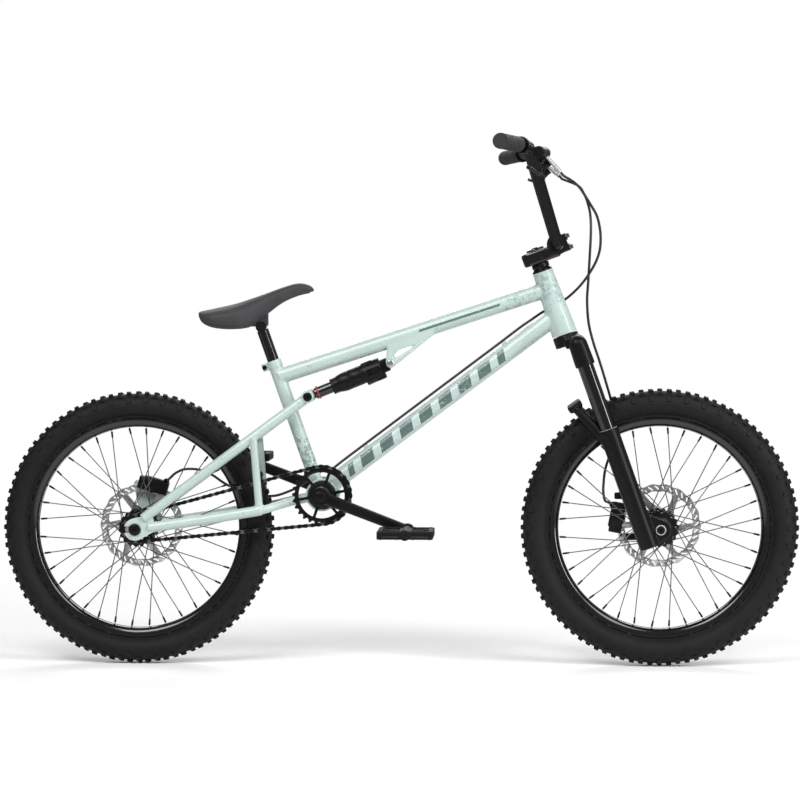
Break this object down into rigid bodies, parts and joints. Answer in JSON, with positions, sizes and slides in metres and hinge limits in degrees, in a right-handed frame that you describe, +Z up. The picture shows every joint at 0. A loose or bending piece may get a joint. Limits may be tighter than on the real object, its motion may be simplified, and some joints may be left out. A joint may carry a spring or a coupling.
{
  "type": "dirt jump bmx bike",
  "caption": "Full-suspension dirt jump bmx bike with small wheels, disc brakes, a short swingarm, an air shock and a suspension fork.",
  "frame": {"origin": "on the ground, midway between the ends of the tyres and in the middle plane", "axes": "+X forward, +Y to the bike's left, +Z up"},
  "size_m": [1.5096, 0.7358, 0.9899],
  "materials": {
    "alloy": "black anodised",
    "cover": "matt black saddle cover",
    "gloss": "gloss black",
    "paint": "satin pale green paint",
    "plastic": "textured black plastic",
    "red": "red rubber",
    "satin": "satin black",
    "soft": "matt black rubber",
    "steel": "plain steel",
    "tread": "matt black tyre rubber"
  },
  "bodies": {
    "frame": {"main_frame": "paint", "headset_upper_bearing": "steel", "headset_lower_bearing": "steel", "bb_bearing_right": "steel", "bb_bearing_left": "steel", "bb_sleeve": "alloy", "seat_clamp_bolt": "satin", "shock_bolt_upper": "steel", "rear_hose": "soft"},
    "seatpost": {"seatpost": "gloss", "saddle_shell": "plastic", "saddle_pad": "cover", "saddle_bolt": "steel"},
    "steering": {"fork_crown": "alloy", "stanchion_right": "gloss", "stanchion_left": "gloss", "headset_top_cover": "alloy", "headset_spacer": "alloy", "stem_body": "gloss", "stem_clamp": "gloss", "stem_top_cap": "gloss", "handlebar": "satin", "grip_right": "soft", "grip_left": "soft", "brake_master_right": "alloy", "brake_master_left": "alloy", "front_hose": "soft"},
    "lever_right": {"lever_right": "alloy"},
    "lever_left": {"lever_left": "alloy"},
    "fork_lowers": {"fork_lowers": "alloy", "front_axle": "alloy", "front_caliper": "alloy"},
    "front_wheel": {"front_rim": "gloss", "front_tyre": "tread", "front_laced_hub": "alloy", "front_rotor": "steel"},
    "swingarm": {"swingarm": "paint", "pivot_bush_right": "soft", "pivot_bush_left": "soft", "rear_axle": "alloy", "rear_caliper": "alloy", "chain": "steel"},
    "rear_wheel": {"rear_rim": "gloss", "rear_tyre": "tread", "rear_laced_hub": "alloy", "rear_rotor": "steel"},
    "cog": {"rear_cog": "steel"},
    "crank": {"crank_spindle": "steel", "crank_arm_right": "alloy", "crank_arm_left": "alloy", "chainring": "alloy", "sprocket_bolt": "steel", "pedal_spindle_right": "steel", "pedal_spindle_left": "steel"},
    "pedal_right": {"pedal_body_right": "plastic"},
    "pedal_left": {"pedal_body_left": "plastic"},
    "shock_body": {"shock_body": "alloy"},
    "shock_shaft": {"shock_shaft": "gloss", "shock_travel_ring": "red", "shock_bolt_lower": "satin"}
  },
  "joints": [
    {"name": "steering_turn", "type": "hinge", "parent": "frame", "child": "steering", "pos_m": [0.29183, 0, 0.68588], "axis": [-0.3338, 0, 0.9426], "range_deg": [-90, 90], "deforming": ["rear_hose", "front_hose"]},
    {"name": "fork_travel", "type": "slide", "parent": "steering", "child": "fork_lowers", "axis": [-0.3338, 0, 0.9426], "range_m": [0, 0.08], "stiffness_N_per_m": 6000},
    {"name": "front_wheel_spin", "type": "hinge", "parent": "fork_lowers", "child": "front_wheel", "pos_m": [0.49225, 0, 0.2625], "axis": [0, 1, 0], "continuous": true},
    {"name": "swingarm_travel", "type": "hinge", "parent": "frame", "child": "swingarm", "pos_m": [-0.14417, 0, 0.32372], "axis": [0, 1, 0], "range_deg": [0, 11], "stiffness_Nm_per_rad": 1200},
    {"name": "rear_wheel_spin", "type": "hinge", "parent": "swingarm", "child": "rear_wheel", "pos_m": [-0.49575, 0, 0.259], "axis": [0, 1, 0], "continuous": true},
    {"name": "cog_spin", "type": "hinge", "parent": "swingarm", "child": "cog", "pos_m": [-0.49575, 0, 0.259], "axis": [0, 1, 0], "continuous": true},
    {"name": "crank_spin", "type": "hinge", "parent": "frame", "child": "crank", "pos_m": [-0.14417, 0, 0.32372], "axis": [0, 1, 0], "continuous": true, "deforming": ["chain"]},
    {"name": "pedal_right_spin", "type": "hinge", "parent": "crank", "child": "pedal_right", "pos_m": [0.01921, -0.142, 0.261], "axis": [0, 1, 0], "continuous": true},
    {"name": "pedal_left_spin", "type": "hinge", "parent": "crank", "child": "pedal_left", "pos_m": [-0.30755, 0.142, 0.38643], "axis": [0, 1, 0], "continuous": true},
    {"name": "shock_body_turn", "type": "hinge", "parent": "frame", "child": "shock_body", "pos_m": [-0.01575, 0, 0.572], "axis": [0, 1, 0], "range_deg": [-5.3, 0]},
    {"name": "shock_shaft_slide", "type": "slide", "parent": "shock_body", "child": "shock_shaft", "axis": [0.9264, 0, 0.3765], "range_m": [0, 0.034]},
    {"name": "lever_right_pull", "type": "hinge", "parent": "steering", "child": "lever_right", "pos_m": [0.27819, -0.20425, 0.93784], "axis": [-0.7497, 0.1573, -0.6429], "range_deg": [0, 20], "stiffness_Nm_per_rad": 0.6},
    {"name": "lever_left_pull", "type": "hinge", "parent": "steering", "child": "lever_left", "pos_m": [0.27819, 0.20425, 0.93784], "axis": [0.7497, 0.1573, 0.6429], "range_deg": [0, 20], "stiffness_Nm_per_rad": 0.6},
    {"name": "seatpost_height", "type": "slide", "parent": "frame", "child": "seatpost", "axis": [-0.3338, 0, 0.9426], "range_m": [0, 0.05]}
  ],
  "couplings": [
    {"joint": "cog_spin", "follows": "crank_spin", "ratio": 2.25},
    {"joint": "shock_body_turn", "follows": "swingarm_travel", "ratio": -0.4655},
    {"joint": "shock_shaft_slide", "follows": "swingarm_travel", "m_per_rad": 0.1737}
  ]
}
